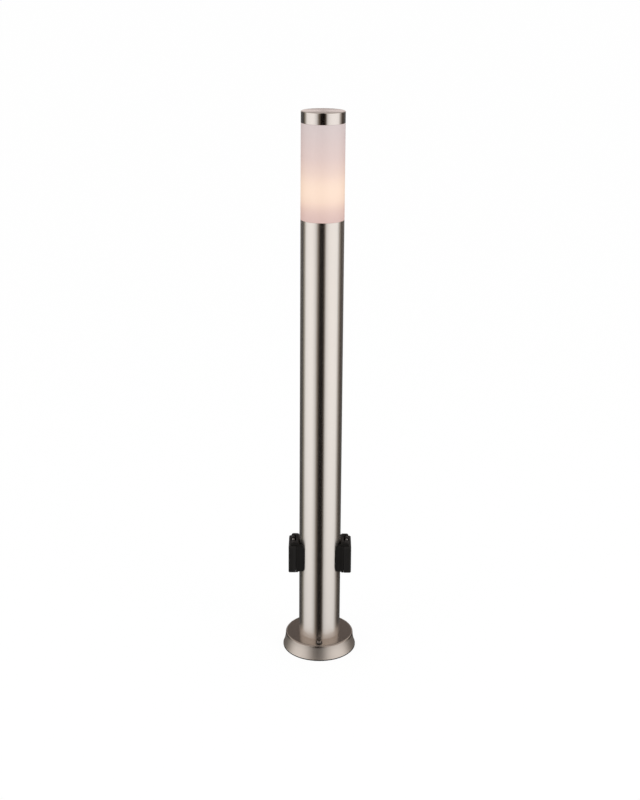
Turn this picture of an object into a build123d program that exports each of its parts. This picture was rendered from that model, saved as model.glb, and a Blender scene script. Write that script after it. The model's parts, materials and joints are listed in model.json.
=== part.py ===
from build123d import *
from math import cos, pi, radians, sin, sqrt
import os

# A garden post of stainless steel tube: a lit head on top, two flap sockets low down.
# The origin is the middle of the base on the ground, +Z is up, and the front looks along -Y.
# All sizes are in millimetres.

os.makedirs("parts", exist_ok=True)

# Whole post
overall_height = 1000.0
tube_diameter = 76.0
tube_wall = 1.5
cut_overrun = 1.0

# Base: rubber ring, steel plate on the ground, and the pressed cover welded to the tube
gasket_thickness = 1.5
gasket_inner_diameter = 44.0
gasket_lip = 0.3
cover_bottom_reach = 29.2
cover_lip_reach = 24.8
cover_height = 26.5
cover_wall = 1.2
cover_edge_radius = 4.0
cover_skirt_sag = 0.9
tube_tail = 6.0
plate_reach = 23.0
plate_thickness = 4.0
plate_cable_hole_diameter = 32.0
plate_edge_chamfer = 0.8
anchor_reach = 9.0
anchor_hole_diameter = 6.6
anchor_count = 4
anchor_start_angle = 45.0

# Cover screws and the two threaded pillars that they reach
cover_screw_reach = 12.0
cover_screw_diameter = 4.8
cover_screw_hole_diameter = 5.4
cover_screw_length = 14.0
cover_screw_head_diameter = 8.6
cover_screw_head_height = 2.8
screw_drive_width = 3.0
screw_drive_depth = 1.6
cover_washer_diameter = 11.0
cover_washer_thickness = 1.0
standoff_diameter = 10.0
standoff_thread_diameter = 5.0
standoff_thread_depth = 16.0

# Rubber grommet of the ground cable
grommet_bore_diameter = 12.0
grommet_flange_diameter = 38.0
grommet_flange_thickness = 2.0
grommet_neck_height = 4.0
grommet_neck_diameter = 18.0
grommet_bottom_flange_thickness = 1.2

# Bracket and terminal block inside the foot of the tube
bracket_width = 30.0
bracket_thickness = 2.0
bracket_face_y = 22.0
bracket_foot_length = 13.0
bracket_height = 92.0
bracket_bend_radius = 3.0
bracket_screw_spacing = 18.0
bracket_screw_diameter = 3.8
bracket_screw_head_diameter = 7.0
bracket_screw_head_height = 2.2
terminal_width = 30.0
terminal_depth = 16.0
terminal_height = 24.0
terminal_top_gap = 3.0
terminal_pole_count = 3
terminal_pole_pitch = 9.0
terminal_tower_width = 7.4
terminal_tower_depth = 4.0
terminal_sleeve_diameter = 5.2
terminal_sleeve_bore_diameter = 3.6
terminal_sleeve_length = 20.0
clamp_screw_diameter = 3.0
clamp_screw_spacing = 12.0
clamp_screw_slot_width = 0.8
clamp_screw_slot_depth = 0.9
clamp_screw_recess = 1.2
terminal_fixing_diameter = 3.0
terminal_fixing_head_diameter = 5.4
terminal_fixing_head_height = 1.8
terminal_fixing_nut_thickness = 2.2
terminal_fixing_nut_width = 5.5

# Leads held inside the tube
lamp_lead_diameter = 6.4
socket_lead_diameter = 5.4
lead_fit = 0.4
lead_bend_run = 40.0
lead_arc_share = 0.45

# Lit head
cap_height = 20.0
cap_wall = 1.2
cap_edge_radius = 1.2
diffuser_height = 166.0
diffuser_wall = 2.5
diffuser_neck_height = 12.0
diffuser_neck_clearance = 0.5
diffuser_spigot_height = 16.0
diffuser_spigot_clearance = 2.8
diffuser_fitting_wall = 2.7
spigot_seal_section = 1.8
spigot_seal_squeeze = 0.25
spigot_seal_drop = 6.0
neck_seal_section = 1.6
neck_seal_squeeze = 0.1
neck_seal_rise = 5.0
insert_plate_thickness = 2.0
insert_skirt_height = 8.0
insert_skirt_wall = 1.8
insert_rib_count = 6
insert_rib_height = 3.0
insert_rib_thickness = 1.6
insert_hub_diameter = 16.0
head_fit = 0.2

# Carrier in the top of the tube, with the screw lampholder
carrier_depth = 42.0
carrier_drop = 2.0
carrier_wall = 2.3
carrier_floor_thickness = 4.0
carrier_fit = 0.1
carrier_boss_diameter = 44.0
carrier_boss_height = 4.0
carrier_cable_hole_diameter = 9.0
carrier_vent_count = 6
carrier_vent_width = 4.0
carrier_vent_length = 7.0
carrier_vent_angle = 30.0
holder_diameter = 40.0
holder_height = 34.0
holder_skirt_diameter = 43.0
holder_skirt_height = 9.0
holder_floor_thickness = 4.0
holder_well_diameter = 20.0
holder_well_depth = 4.0
holder_rib_count = 18
holder_rib_thickness = 1.2
holder_screw_circle_diameter = 34.4
holder_screw_diameter = 2.8
holder_screw_length = 16.0
holder_screw_head_diameter = 5.4
holder_screw_head_height = 2.2
sleeve_bore_diameter = 26.9
sleeve_wall = 0.6
thread_pitch = 3.6
thread_depth = 0.5
contact_leaf_width = 7.0
contact_leaf_thickness = 0.6
contact_leaf_rise = 3.2
contact_leaf_length = 16.0
contact_clearance = 0.1

# Lamp bulb
bulb_cap_diameter = 26.2
bulb_cap_height = 24.0
bulb_contact_diameter = 9.5
bulb_contact_height = 1.6
bulb_insulator_height = 1.6
bulb_insulator_diameter = 18.0
bulb_body_foot_diameter = 28.0
bulb_body_height = 42.0
bulb_clearance = 1.0
bulb_body_rim_share = 0.94
bulb_neck_share = 0.52

# Flap sockets on both sides of the tube
socket_height_above_ground = 183.3
socket_border_y = 5.6
socket_body_border_y = 2.9
socket_rim_depth = 4.0
socket_border_z = 5.2
socket_corner_radius = 5.0
socket_reach = 5.9
socket_wall = 2.4
socket_front_wall = 3.2
socket_edge_radius = 0.8
saddle_gasket_thickness = 1.0
saddle_gasket_inset = 0.6
socket_hole_clearance = 1.9
insert_body_diameter = 42.2
insert_flange_overlap = 1.9
insert_flange_thickness = 1.6
insert_floor_thickness = 3.0
insert_fit = 0.2
recess_wall = 1.35
recess_depth = 17.5
recess_mouth_chamfer = 0.6
pin_spacing = 19.0
pin_hole_diameter = 5.2
pin_hole_chamfer = 0.7
guide_rib_width = 4.6
guide_rib_height = 2.2
guide_rib_setback = 1.5
contact_tube_setback = 4.6
contact_tube_wall = 0.8
contact_tube_bore_diameter = 5.0
contact_slit_width = 0.8
contact_block_width = 8.0
contact_block_height = 9.0
contact_block_depth = 4.0
earth_strip_width = 8.0
earth_strip_thickness = 1.0
earth_strip_reach = 11.0
earth_strip_inset = 1.85
earth_tip_bend = 1.3
earth_tip_length = 4.0
earth_slot_fit = 0.3
rear_cover_wall = 1.6
rear_cover_gap = 11.6
socket_screw_inset_y = 0.6
socket_screw_inset_z = 1.1
socket_screw_diameter = 3.5
socket_screw_head_diameter = 6.4
socket_screw_head_height = 2.2
socket_screw_length = 17.5
socket_screw_fit = 0.15
socket_boss_diameter = 6.4
screw_recess_width = 3.2
screw_recess_thickness = 0.9
screw_recess_depth = 1.1

# Flap lid and its hinge
lid_overlap_y = 0.3
lid_overlap_z = 0.2
lid_thickness = 13.2
lid_gap = 0.3
lid_wall = 2.0
lid_face_radius = 2.6
lid_rib_thickness = 1.4
lid_rib_depth = 4.0
lid_tab_width = 18.0
lid_tab_thickness = 2.6
lid_tab_drop = 1.8
hinge_rise = 4.8
hinge_reach = 1.2
knuckle_diameter = 7.6
knuckle_gap = 0.3
hinge_pin_diameter = 2.4
hinge_pin_fit = 0.05
spring_bay_width = 11.0
lid_knuckle_width = 7.0
ear_width = 9.2
hood_depth = 6.0
lid_seal_gap = 0.7
lid_seal_width = 1.9
lid_seal_groove_depth = 1.0
lid_seal_squeeze = 0.1
spring_wire_diameter = 0.6
spring_mean_diameter = 4.4
spring_turns = 5
spring_pitch = 1.25
spring_leg_fit = 0.1

# Worked out from the sizes above
tube_radius = tube_diameter / 2
tube_bore_radius = tube_radius - tube_wall
cover_bottom_diameter = tube_diameter + 2 * cover_bottom_reach
cover_lip_diameter = tube_diameter + 2 * cover_lip_reach
plate_diameter = tube_diameter + 2 * plate_reach
anchor_circle_diameter = tube_diameter + 2 * anchor_reach
cover_screw_radius = tube_radius + cover_screw_reach
diffuser_neck_diameter = tube_diameter - 2 * (cap_wall + diffuser_neck_clearance)
diffuser_neck_bore_diameter = diffuser_neck_diameter - 2 * diffuser_fitting_wall
diffuser_spigot_diameter = 2 * (tube_bore_radius - diffuser_spigot_clearance)
diffuser_spigot_bore_diameter = diffuser_spigot_diameter - 2 * diffuser_fitting_wall
bulb_diameter = diffuser_spigot_bore_diameter - 2 * bulb_clearance
cover_bottom_z = gasket_thickness
cover_top_z = cover_bottom_z + cover_height
cover_underside_z = cover_top_z - cover_wall
plate_top_z = gasket_thickness + plate_thickness
tube_bottom_z = cover_top_z - tube_tail
cap_bottom_z = overall_height - cap_height
diffuser_bottom_z = cap_bottom_z - diffuser_height
tube_top_z = diffuser_bottom_z
carrier_top_z = tube_top_z - carrier_drop
carrier_bottom_z = carrier_top_z - carrier_depth
carrier_floor_z = carrier_bottom_z + carrier_floor_thickness
holder_bottom_z = carrier_floor_z + carrier_boss_height
holder_top_z = holder_bottom_z + holder_height
holder_floor_z = holder_bottom_z + holder_floor_thickness
sleeve_bottom_z = holder_floor_z + holder_well_depth
contact_leaf_top_z = holder_floor_z + contact_leaf_thickness + contact_leaf_rise
bulb_contact_bottom_z = contact_leaf_top_z + contact_clearance
bulb_cap_bottom_z = bulb_contact_bottom_z + bulb_contact_height + bulb_insulator_height
bulb_body_bottom_z = bulb_cap_bottom_z + bulb_cap_height
bulb_body_top_z = bulb_body_bottom_z + bulb_body_height
bracket_foot_z = plate_top_z
terminal_top_z = bracket_foot_z + bracket_height - terminal_top_gap
terminal_bottom_z = terminal_top_z - terminal_height
terminal_middle_y = bracket_face_y - terminal_depth / 2
saddle_radius = tube_radius + saddle_gasket_thickness
socket_front_x = tube_radius + socket_reach
socket_width = insert_body_diameter + 2 * socket_border_y
socket_body_width = insert_body_diameter + 2 * socket_body_border_y
socket_height = insert_body_diameter + 2 * socket_border_z
tube_socket_hole_diameter = insert_body_diameter + 2 * socket_hole_clearance
insert_flange_diameter = insert_body_diameter + 2 * insert_flange_overlap
recess_diameter = insert_body_diameter - 2 * recess_wall
earth_strip_radius = recess_diameter / 2 - earth_strip_inset
socket_screw_spacing_y = insert_body_diameter - 2 * socket_screw_inset_y
socket_screw_spacing_z = insert_body_diameter - 2 * socket_screw_inset_z
insert_floor_x = socket_front_x - recess_depth
insert_back_x = insert_floor_x - insert_floor_thickness
rear_cover_x = rear_cover_gap / 2
rear_cover_length = insert_back_x - rear_cover_x
rear_inlet_offset = rear_cover_length / 2
contact_tube_length = rear_cover_length - contact_tube_setback
lid_width = socket_width + 2 * lid_overlap_y
lid_height = socket_height + 2 * lid_overlap_z
lid_seal_diameter = insert_body_diameter + 2 * lid_seal_gap
lid_back_x = socket_front_x + lid_gap
lid_front_x = lid_back_x + lid_thickness
knuckle_radius = knuckle_diameter / 2
hinge_x = lid_back_x + knuckle_radius + hinge_reach
hinge_z = socket_height_above_ground + lid_height / 2 + hinge_rise - knuckle_radius
hinge_half_width = spring_bay_width / 2 + lid_knuckle_width + knuckle_gap + ear_width
half_turn = 180.0
quarter_turn = 90.0

UP = (Align.CENTER, Align.CENTER, Align.MIN)


def rod(radius, low, high, x=0.0, y=0.0):
    """A round bar standing along Z."""
    return Pos(x, y, low) * Cylinder(radius, high - low, align=UP)


def ring(outer, inner, low, high, x=0.0, y=0.0):
    """A round wall standing along Z."""
    bore = rod(inner, low - cut_overrun, high + cut_overrun, x, y)
    return rod(outer, low, high, x, y) - bore


def rod_x(radius, near, far, y=0.0, z=0.0):
    """A round bar lying along X."""
    return Pos(near, y, z) * Rot(0, quarter_turn, 0) * Cylinder(radius, far - near, align=UP)


def rod_y(radius, near, far, x=0.0, z=0.0):
    """A round bar lying along Y."""
    return Pos(x, near, z) * Rot(-quarter_turn, 0, 0) * Cylinder(radius, far - near, align=UP)


def block(x_range, y_range, z_range):
    """A straight block between the given limits."""
    sizes = [high - low for low, high in (x_range, y_range, z_range)]
    middles = [(high + low) / 2 for low, high in (x_range, y_range, z_range)]
    return Pos(*middles) * Box(*sizes)


def rounded_plate(width, height, radius, near, far, z):
    """A plate with rounded corners, upright, its thickness along X."""
    outline = RectangleRounded(height, width, radius)
    return Pos(near, 0, z) * Rot(0, quarter_turn, 0) * extrude(outline, far - near)


def turned(outline):
    """A solid of revolution about Z, from an outline in radius and height."""
    return revolve(Plane.XZ * make_face(outline), Axis.Z)


def loop(radius, section, height):
    """A round rubber ring of round section."""
    return Pos(0, 0, height) * Torus(radius, section / 2)


def dome_screw(head_diameter, head_height, shank_diameter, shank_length):
    """A domed screw pointing down, the underside of its head at zero."""
    radius = head_diameter / 2
    sphere = (radius ** 2 + head_height ** 2) / (2 * head_height)
    dome = Pos(0, 0, head_height - sphere) * Sphere(sphere)
    head = dome & rod(radius, 0, head_height)
    drive = Pos(0, 0, head_height - screw_drive_depth) * extrude(
        RegularPolygon(screw_drive_width / 2, 6, major_radius=False), screw_drive_depth + cut_overrun)
    return head - drive + rod(shank_diameter / 2, -shank_length, 0)


def ground_gasket():
    outer = cover_bottom_diameter / 2 + gasket_lip
    body = ring(outer, gasket_inner_diameter / 2, 0, gasket_thickness)
    for place in PolarLocations(anchor_circle_diameter / 2, anchor_count, anchor_start_angle):
        hole = rod(anchor_hole_diameter / 2, -cut_overrun, gasket_thickness + cut_overrun)
        body -= place * hole
    return body


def mounting_plate():
    body = rod(plate_diameter / 2, gasket_thickness, plate_top_z)
    body = chamfer(body.edges().group_by(Axis.Z)[-1], plate_edge_chamfer)
    body -= rod(plate_cable_hole_diameter / 2, 0, plate_top_z + cut_overrun)
    for place in PolarLocations(anchor_circle_diameter / 2, anchor_count, anchor_start_angle):
        body -= place * rod(anchor_hole_diameter / 2, 0, plate_top_z + cut_overrun)
    for x in (-bracket_screw_spacing / 2, bracket_screw_spacing / 2):
        body -= rod(bracket_screw_diameter / 2, 0, plate_top_z + cut_overrun, x, bracket_screw_y())
    return body


def cover_outline(wall, bottom):
    """Half section of the pressed cover: a hollow skirt, a rounded lip and a flat top."""
    low_radius = cover_bottom_diameter / 2 - wall
    lip_radius = cover_lip_diameter / 2 - wall
    edge = cover_edge_radius - wall
    top = cover_top_z - wall
    lip_z = top - edge
    middle = ((low_radius + lip_radius) / 2 - cover_skirt_sag, (cover_bottom_z + lip_z) / 2)
    diagonal = edge * (1 - sqrt(0.5))
    skirt = ThreePointArc((low_radius, cover_bottom_z), middle, (lip_radius, lip_z))
    lip = ThreePointArc((lip_radius, lip_z), (lip_radius - diagonal, top - diagonal),
                        (lip_radius - edge, top))
    rest = Polyline((lip_radius - edge, top), (0, top), (0, bottom), (low_radius, bottom))
    if bottom < cover_bottom_z:
        rest += Line((low_radius, bottom), (low_radius, cover_bottom_z))
    return skirt + lip + rest


def flange_cover():
    body = turned(cover_outline(0, cover_bottom_z))
    body -= turned(cover_outline(cover_wall, 0))
    body -= rod(tube_radius, 0, overall_height)
    for side in (-1, 1):
        body -= rod(cover_screw_hole_diameter / 2, 0, overall_height, 0, side * cover_screw_radius)
    return body


def standoffs():
    body = Part()
    for side in (-1, 1):
        y = side * cover_screw_radius
        pillar = rod(standoff_diameter / 2, plate_top_z, cover_underside_z, 0, y)
        thread = rod(standoff_thread_diameter / 2, cover_underside_z - standoff_thread_depth,
                     cover_underside_z + cut_overrun, 0, y)
        body += pillar - thread
    return body


def cover_washers():
    body = Part()
    for side in (-1, 1):
        body += ring(cover_washer_diameter / 2, cover_screw_hole_diameter / 2, cover_top_z,
                     cover_top_z + cover_washer_thickness, 0, side * cover_screw_radius)
    return body


def cover_screws():
    body = Part()
    seat = cover_top_z + cover_washer_thickness
    for side in (-1, 1):
        body += Pos(0, side * cover_screw_radius, seat) * dome_screw(
            cover_screw_head_diameter, cover_screw_head_height, cover_screw_diameter, cover_screw_length)
    return body


def cable_grommet():
    plate_hole = plate_cable_hole_diameter / 2
    flange_top = plate_top_z + grommet_flange_thickness
    body = rod(plate_hole, gasket_thickness, plate_top_z)
    body += rod(grommet_flange_diameter / 2, plate_top_z, flange_top)
    body += Pos(0, 0, flange_top) * Cone(plate_hole, grommet_neck_diameter / 2, grommet_neck_height, align=UP)
    body += rod(gasket_inner_diameter / 2, gasket_thickness - grommet_bottom_flange_thickness,
                gasket_thickness)
    return body - rod(grommet_bore_diameter / 2, 0, flange_top + grommet_neck_height + cut_overrun)


def bracket_screw_y():
    return bracket_face_y + bracket_foot_length / 2 + bracket_bend_radius / 2


def terminal_bracket():
    half = bracket_thickness / 2
    back = bracket_face_y + half
    route = FilletPolyline((back + bracket_foot_length, bracket_foot_z + half),
                           (back, bracket_foot_z + half),
                           (back, bracket_foot_z + bracket_height), radius=bracket_bend_radius)
    body = extrude(Plane.YZ * trace(route, bracket_thickness), bracket_width / 2, both=True)
    for side in (-1, 1):
        x = side * bracket_screw_spacing / 2
        body -= rod(bracket_screw_diameter / 2 + lead_fit, 0, bracket_foot_z + bracket_bend_radius,
                    x, bracket_screw_y())
        body -= rod_y(terminal_fixing_diameter / 2 + lead_fit, bracket_face_y - cut_overrun,
                      bracket_face_y + bracket_thickness + cut_overrun, side * terminal_fixing_x(),
                      terminal_middle_z())
    return body


def bracket_screws():
    body = Part()
    seat = bracket_foot_z + bracket_thickness
    for side in (-1, 1):
        body += Pos(side * bracket_screw_spacing / 2, bracket_screw_y(), seat) * dome_screw(
            bracket_screw_head_diameter, bracket_screw_head_height, bracket_screw_diameter,
            plate_thickness + bracket_thickness)
    return body


def terminal_middle_z():
    return (terminal_top_z + terminal_bottom_z) / 2


def terminal_fixing_x():
    return terminal_pole_pitch / 2


def pole_places():
    first = -terminal_pole_pitch * (terminal_pole_count - 1) / 2
    return [first + pole * terminal_pole_pitch for pole in range(terminal_pole_count)]


def terminal_block():
    front = bracket_face_y - terminal_depth
    body = block((-terminal_width / 2, terminal_width / 2), (front + terminal_tower_depth, bracket_face_y),
                 (terminal_bottom_z, terminal_top_z))
    for x in pole_places():
        for side in (-1, 1):
            z = terminal_middle_z() + side * clamp_screw_spacing / 2
            body += rod_y(terminal_tower_width / 2, front, bracket_face_y - terminal_depth / 2, x, z)
        body -= rod(terminal_sleeve_diameter / 2, terminal_bottom_z - cut_overrun,
                    terminal_top_z + cut_overrun, x, terminal_middle_y)
        for side in (-1, 1):
            z = terminal_middle_z() + side * clamp_screw_spacing / 2
            body -= rod_y(clamp_screw_diameter / 2, front - cut_overrun, terminal_middle_y, x, z)
    for side in (-1, 1):
        body -= rod_y(terminal_fixing_diameter / 2, front - cut_overrun, bracket_face_y + cut_overrun,
                      side * terminal_fixing_x(), terminal_middle_z())
    return body


def terminal_sleeves():
    body = Part()
    low = terminal_middle_z() - terminal_sleeve_length / 2
    high = low + terminal_sleeve_length
    for x in pole_places():
        sleeve = ring(terminal_sleeve_diameter / 2, terminal_sleeve_bore_diameter / 2, low, high, x,
                      terminal_middle_y)
        for side in (-1, 1):
            z = terminal_middle_z() + side * clamp_screw_spacing / 2
            sleeve -= rod_y(clamp_screw_diameter / 2, terminal_middle_y - terminal_sleeve_diameter,
                            terminal_middle_y, x, z)
        body += sleeve
    return body


def clamp_screws():
    body = Part()
    front = bracket_face_y - terminal_depth + clamp_screw_recess
    end = terminal_middle_y - terminal_sleeve_bore_diameter / 2
    for x in pole_places():
        for side in (-1, 1):
            z = terminal_middle_z() + side * clamp_screw_spacing / 2
            screw = rod_y(clamp_screw_diameter / 2, front, end, x, z)
            slot = block((x - clamp_screw_diameter, x + clamp_screw_diameter),
                         (front - cut_overrun, front + clamp_screw_slot_depth),
                         (z - clamp_screw_slot_width / 2, z + clamp_screw_slot_width / 2))
            body += screw - slot
    return body


def terminal_fixings():
    body = Part()
    front = bracket_face_y - terminal_depth + terminal_tower_depth
    back = bracket_face_y + bracket_thickness
    for side in (-1, 1):
        x = side * terminal_fixing_x()
        z = terminal_middle_z()
        head = rod_y(terminal_fixing_head_diameter / 2, front - terminal_fixing_head_height, front, x, z)
        shank = rod_y(terminal_fixing_diameter / 2, front, back + terminal_fixing_nut_thickness, x, z)
        nut = Pos(x, back, z) * Rot(-quarter_turn, 0, 0) * extrude(
            RegularPolygon(terminal_fixing_nut_width / 2, 6, major_radius=False),
            terminal_fixing_nut_thickness)
        body += head + shank + nut
    return body


def post_tube():
    body = ring(tube_radius, tube_bore_radius, tube_bottom_z, tube_top_z)
    hole = rod_x(tube_socket_hole_diameter / 2, -tube_diameter, tube_diameter, 0,
                 socket_height_above_ground)
    body -= hole
    for y, z in socket_screw_places():
        body -= rod_x(socket_screw_diameter / 2 + socket_screw_fit, -tube_diameter, tube_diameter, y, z)
    return body


def held_lead(points, diameter):
    """A lead on straight runs joined by tangent arcs."""
    corners = []
    for before, here, after in zip(points, points[1:], points[2:]):
        run_in = Vector(*here) - Vector(*before)
        run_out = Vector(*after) - Vector(*here)
        turn = radians(run_in.get_angle(run_out))
        shorter = min(run_in.length, run_out.length)
        corners.append(lead_arc_share * shorter * cos(turn / 2) / sin(turn / 2))
    print("lead radii", [round(radius, 1) for radius in corners])
    path = FilletPolyline(*points, radius=corners) if corners else Line(*points)
    start = Plane(origin=points[0], z_dir=path % 0)
    body = sweep(start * Circle(diameter / 2), path=path)
    length = path.length
    print("lead length", round(length, 1), "volume share",
          round(body.volume / (pi * diameter ** 2 / 4 * length), 4))
    return body


def lamp_lead():
    low = terminal_top_z
    high = holder_floor_z
    reach = terminal_middle_y
    points = [(0, reach, low),
              (0, reach, carrier_bottom_z - lead_bend_run * 2),
              (0, 0, carrier_bottom_z - lead_bend_run),
              (0, 0, high)]
    return held_lead(points, lamp_lead_diameter)


def socket_lead():
    side_x = terminal_pole_pitch
    inlet_x = insert_back_x - rear_inlet_offset
    low = terminal_top_z
    inlet_z = socket_height_above_ground - insert_body_diameter / 2
    half_way = (low + inlet_z) / 2
    points = [(side_x, terminal_middle_y, low),
              (side_x, terminal_middle_y, half_way - lead_bend_run / 4),
              (inlet_x, 0, half_way + lead_bend_run / 4),
              (inlet_x, 0, inlet_z)]
    return held_lead(points, socket_lead_diameter)


def diffuser():
    outer = tube_radius
    inner = outer - diffuser_wall
    spigot_low = diffuser_bottom_z - diffuser_spigot_height
    neck_high = cap_bottom_z + diffuser_neck_height
    body = rod(outer, diffuser_bottom_z, cap_bottom_z)
    body += rod(diffuser_spigot_diameter / 2, spigot_low, diffuser_bottom_z)
    body += rod(diffuser_neck_diameter / 2, cap_bottom_z, neck_high)
    hollow = rod(inner, diffuser_bottom_z + diffuser_wall, cap_bottom_z - diffuser_wall)
    taper_low = Pos(0, 0, diffuser_bottom_z) * Cone(diffuser_spigot_bore_diameter / 2, inner,
                                                    diffuser_wall, align=UP)
    taper_high = Pos(0, 0, cap_bottom_z - diffuser_wall) * Cone(
        inner, diffuser_neck_bore_diameter / 2, diffuser_wall, align=UP)
    body -= hollow + taper_low + taper_high
    body -= rod(diffuser_spigot_bore_diameter / 2, spigot_low - cut_overrun, diffuser_bottom_z)
    body -= rod(diffuser_neck_bore_diameter / 2, cap_bottom_z, neck_high + cut_overrun)
    body -= loop(spigot_seal_radius(), spigot_seal_section, spigot_seal_z())
    body -= loop(neck_seal_radius(), neck_seal_section, neck_seal_z())
    return body


def spigot_seal_radius():
    return diffuser_spigot_diameter / 2 + spigot_seal_squeeze - spigot_seal_section / 2


def spigot_seal_z():
    return diffuser_bottom_z - spigot_seal_drop


def neck_seal_radius():
    return diffuser_neck_diameter / 2 + neck_seal_squeeze - neck_seal_section / 2


def neck_seal_z():
    return cap_bottom_z + neck_seal_rise


def diffuser_seal():
    return loop(spigot_seal_radius(), spigot_seal_section, spigot_seal_z())


def cap_seal():
    return loop(neck_seal_radius(), neck_seal_section, neck_seal_z())


def top_cap():
    body = rod(tube_radius, cap_bottom_z, overall_height)
    body = fillet(body.edges().group_by(Axis.Z)[-1], cap_edge_radius)
    hollow = rod(tube_radius - cap_wall, cap_bottom_z - cut_overrun, overall_height - cap_wall)
    return body - hollow


def cap_insert():
    plate_top = overall_height - cap_wall
    plate_low = cap_bottom_z + diffuser_neck_height
    skirt_radius = diffuser_neck_bore_diameter / 2 - head_fit
    plate_base = plate_low + insert_plate_thickness
    body = rod(tube_radius - cap_wall - head_fit, plate_low, plate_base)
    body += ring(skirt_radius, skirt_radius - insert_skirt_wall, plate_low - insert_skirt_height, plate_low)
    body += rod(insert_hub_diameter / 2, plate_base, plate_top)
    body += ring(skirt_radius, skirt_radius - insert_skirt_wall, plate_base, plate_top)
    for place in PolarLocations(0, insert_rib_count):
        rib = block((0, skirt_radius - insert_skirt_wall / 2),
                    (-insert_rib_thickness / 2, insert_rib_thickness / 2),
                    (plate_base, min(plate_base + insert_rib_height, plate_top)))
        body += place * rib
    return body


def lamp_carrier():
    outer = tube_bore_radius - carrier_fit
    body = ring(outer, outer - carrier_wall, carrier_bottom_z, carrier_top_z)
    body += rod(outer - carrier_wall / 2, carrier_bottom_z, carrier_floor_z)
    body += rod(carrier_boss_diameter / 2, carrier_floor_z, holder_bottom_z)
    body -= rod(carrier_cable_hole_diameter / 2, carrier_bottom_z - cut_overrun,
                holder_bottom_z + cut_overrun)
    vent_radius = (carrier_boss_diameter / 2 + outer - carrier_wall) / 2
    for place in PolarLocations(vent_radius, carrier_vent_count, carrier_vent_angle):
        slot = extrude(SlotCenterToCenter(carrier_vent_length, carrier_vent_width, rotation=quarter_turn),
                       carrier_floor_thickness + 2 * cut_overrun)
        body -= place * (Pos(0, 0, carrier_bottom_z - cut_overrun) * slot)
    for side in (-1, 1):
        body -= rod(holder_screw_diameter / 2 + lead_fit, carrier_bottom_z - cut_overrun,
                    holder_bottom_z + cut_overrun, 0, side * holder_screw_circle_diameter / 2)
    return body


def lampholder_shell():
    body = rod(holder_diameter / 2, holder_bottom_z, holder_top_z)
    body += rod(holder_skirt_diameter / 2, holder_bottom_z, holder_bottom_z + holder_skirt_height)
    for place in PolarLocations(holder_diameter / 2, holder_rib_count):
        rib = rod(holder_rib_thickness / 2, holder_bottom_z + holder_skirt_height,
                  holder_top_z - holder_skirt_height)
        body += place * rib
    body -= rod(sleeve_outer_radius(), sleeve_bottom_z, holder_top_z + cut_overrun)
    body -= rod(holder_well_diameter / 2, holder_floor_z, sleeve_bottom_z + cut_overrun)
    body -= rod(lamp_lead_diameter / 2 + lead_fit, holder_bottom_z - cut_overrun,
                holder_floor_z + cut_overrun)
    for side in (-1, 1):
        body -= rod(holder_screw_diameter / 2, holder_bottom_z - cut_overrun,
                    holder_bottom_z + holder_screw_length, 0, side * holder_screw_circle_diameter / 2)
    return body


def sleeve_outer_radius():
    return sleeve_bore_diameter / 2 + sleeve_wall


def rolled_grooves(radius, low, high):
    """Rings that stand for a rolled thread, cut in a wall of the given radius."""
    grooves = Part()
    count = int((high - low) / thread_pitch)
    for turn in range(count):
        z = low + turn * thread_pitch + thread_pitch / 2
        grooves += loop(radius, thread_pitch / 2, z)
    return grooves


def lampholder_sleeve():
    body = ring(sleeve_outer_radius(), sleeve_bore_diameter / 2, sleeve_bottom_z, holder_top_z)
    lip = ring(sleeve_bore_diameter / 2, holder_well_diameter / 2, sleeve_bottom_z,
               sleeve_bottom_z + sleeve_wall)
    return body + lip


def lampholder_contact():
    half = contact_leaf_length / 2
    rise = contact_leaf_rise
    base = holder_floor_z + contact_leaf_thickness / 2
    crown = base + rise
    route = FilletPolyline((-half, base), (-half / 2, base), (-half / 4, crown), (half / 2, crown),
                           radius=contact_leaf_thickness * 2)
    leaf = extrude(Plane.XZ * trace(route, contact_leaf_thickness), contact_leaf_width / 2, both=True)
    return leaf


def holder_screws():
    body = Part()
    for side in (-1, 1):
        place = Pos(0, side * holder_screw_circle_diameter / 2, carrier_bottom_z) * Rot(half_turn, 0, 0)
        body += place * dome_screw(holder_screw_head_diameter, holder_screw_head_height,
                                   holder_screw_diameter, holder_screw_length)
    return body


def bulb_cap():
    radius = bulb_cap_diameter / 2
    body = rod(radius, bulb_cap_bottom_z, bulb_body_bottom_z)
    body -= rolled_grooves(radius + thread_pitch / 4, bulb_cap_bottom_z,
                           bulb_body_bottom_z - thread_pitch)
    body += Pos(0, 0, bulb_cap_bottom_z - bulb_insulator_height) * Cone(
        bulb_insulator_diameter / 2, radius - thread_depth, bulb_insulator_height, align=UP)
    return body


def bulb_contact():
    low = bulb_contact_bottom_z
    return rod(bulb_contact_diameter / 2, low, low + bulb_contact_height)


def bulb_body():
    foot = bulb_body_foot_diameter / 2
    rim = bulb_diameter / 2 * bulb_body_rim_share
    half_way = bulb_body_bottom_z + bulb_body_height / 2
    flank = Spline((foot, bulb_body_bottom_z), (foot + (rim - foot) * bulb_neck_share, half_way),
                   (rim, bulb_body_top_z))
    outline = flank + Polyline((rim, bulb_body_top_z), (0, bulb_body_top_z), (0, bulb_body_bottom_z),
                               (foot, bulb_body_bottom_z))
    return turned(outline)


def bulb_globe():
    radius = bulb_diameter / 2
    rim = radius * bulb_body_rim_share
    drop = sqrt(radius ** 2 - rim ** 2)
    centre = bulb_body_top_z + drop
    dome = Pos(0, 0, centre) * Sphere(radius)
    return dome - rod(radius, centre - radius - cut_overrun, bulb_body_top_z)


def socket_screw_places():
    half_y = socket_screw_spacing_y / 2
    half_z = socket_screw_spacing_z / 2
    return [(y, socket_height_above_ground + z) for y in (-half_y, half_y) for z in (-half_z, half_z)]


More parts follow.
